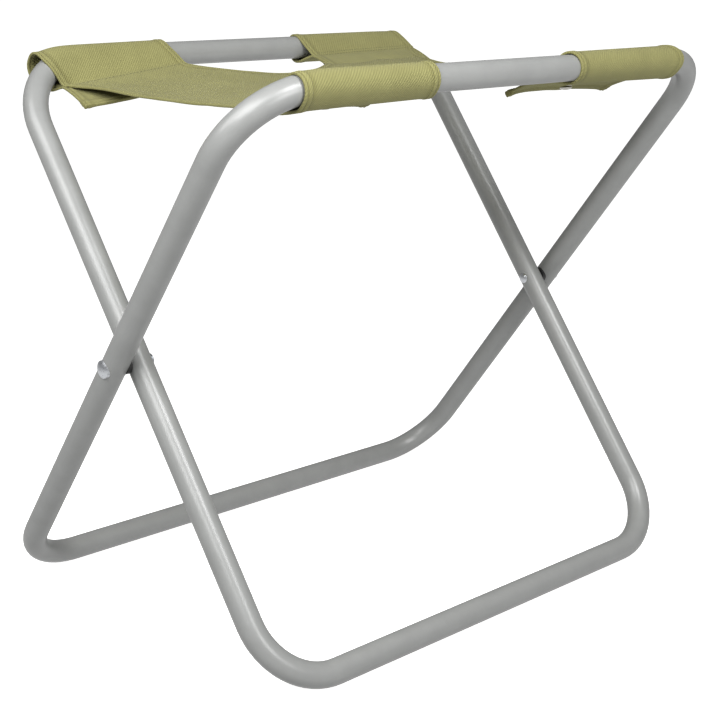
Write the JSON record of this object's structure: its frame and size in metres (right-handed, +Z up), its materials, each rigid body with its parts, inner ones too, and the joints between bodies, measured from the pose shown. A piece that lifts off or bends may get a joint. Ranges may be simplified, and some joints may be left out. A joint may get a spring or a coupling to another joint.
{
  "type": "folding camp stool",
  "caption": "Folding stool of two crossed bent-tube loops on rivets, with a canvas seat sewn into four sleeves round the top bars.",
  "frame": {"origin": "on the floor, midway between the two foot bars and midway along them", "axes": "+X along the bars to the sitter's right, +Y towards the rear, +Z up"},
  "size_m": [0.462, 0.3122, 0.4006],
  "materials": {
    "frame_paint": "semi-gloss light grey enamel",
    "spigot_steel": "plain steel",
    "rivet_steel": "zinc plated",
    "spacer_plastic": "matte black",
    "seat_canvas": "olive green twill",
    "snap_metal": "nickel plated"
  },
  "bodies": {
    "outer_frame": {"outer_frame_tube": "frame_paint", "outer_frame_spigot": "spigot_steel", "left_pivot_rivet": "rivet_steel", "right_pivot_rivet": "rivet_steel", "left_pivot_spacer": "spacer_plastic", "right_pivot_spacer": "spacer_plastic", "seat_panel": "seat_canvas", "front_left_sleeve": "seat_canvas", "front_left_flap": "seat_canvas", "front_left_snap_cap": "snap_metal", "front_left_snap_socket": "snap_metal", "front_left_snap_stud": "snap_metal", "front_left_snap_eyelet": "snap_metal", "front_right_sleeve": "seat_canvas", "front_right_flap": "seat_canvas", "front_right_snap_cap": "snap_metal", "front_right_snap_socket": "snap_metal", "front_right_snap_stud": "snap_metal", "front_right_snap_eyelet": "snap_metal"},
    "inner_frame": {"inner_frame_tube": "frame_paint", "inner_frame_spigot": "spigot_steel", "rear_left_sleeve": "seat_canvas", "rear_left_flap": "seat_canvas", "rear_left_snap_cap": "snap_metal", "rear_left_snap_socket": "snap_metal", "rear_left_snap_stud": "snap_metal", "rear_left_snap_eyelet": "snap_metal", "rear_right_sleeve": "seat_canvas", "rear_right_flap": "seat_canvas", "rear_right_snap_cap": "snap_metal", "rear_right_snap_socket": "snap_metal", "rear_right_snap_stud": "snap_metal", "rear_right_snap_eyelet": "snap_metal"}
  },
  "joints": [
    {"name": "fold", "type": "hinge", "parent": "outer_frame", "child": "inner_frame", "pos_m": [0, 0, 0.19966], "axis": [1, 0, 0], "range_deg": [0, 66], "deforming": ["seat_panel", "front_left_flap", "front_right_flap", "rear_left_flap", "rear_right_flap"]}
  ]
}
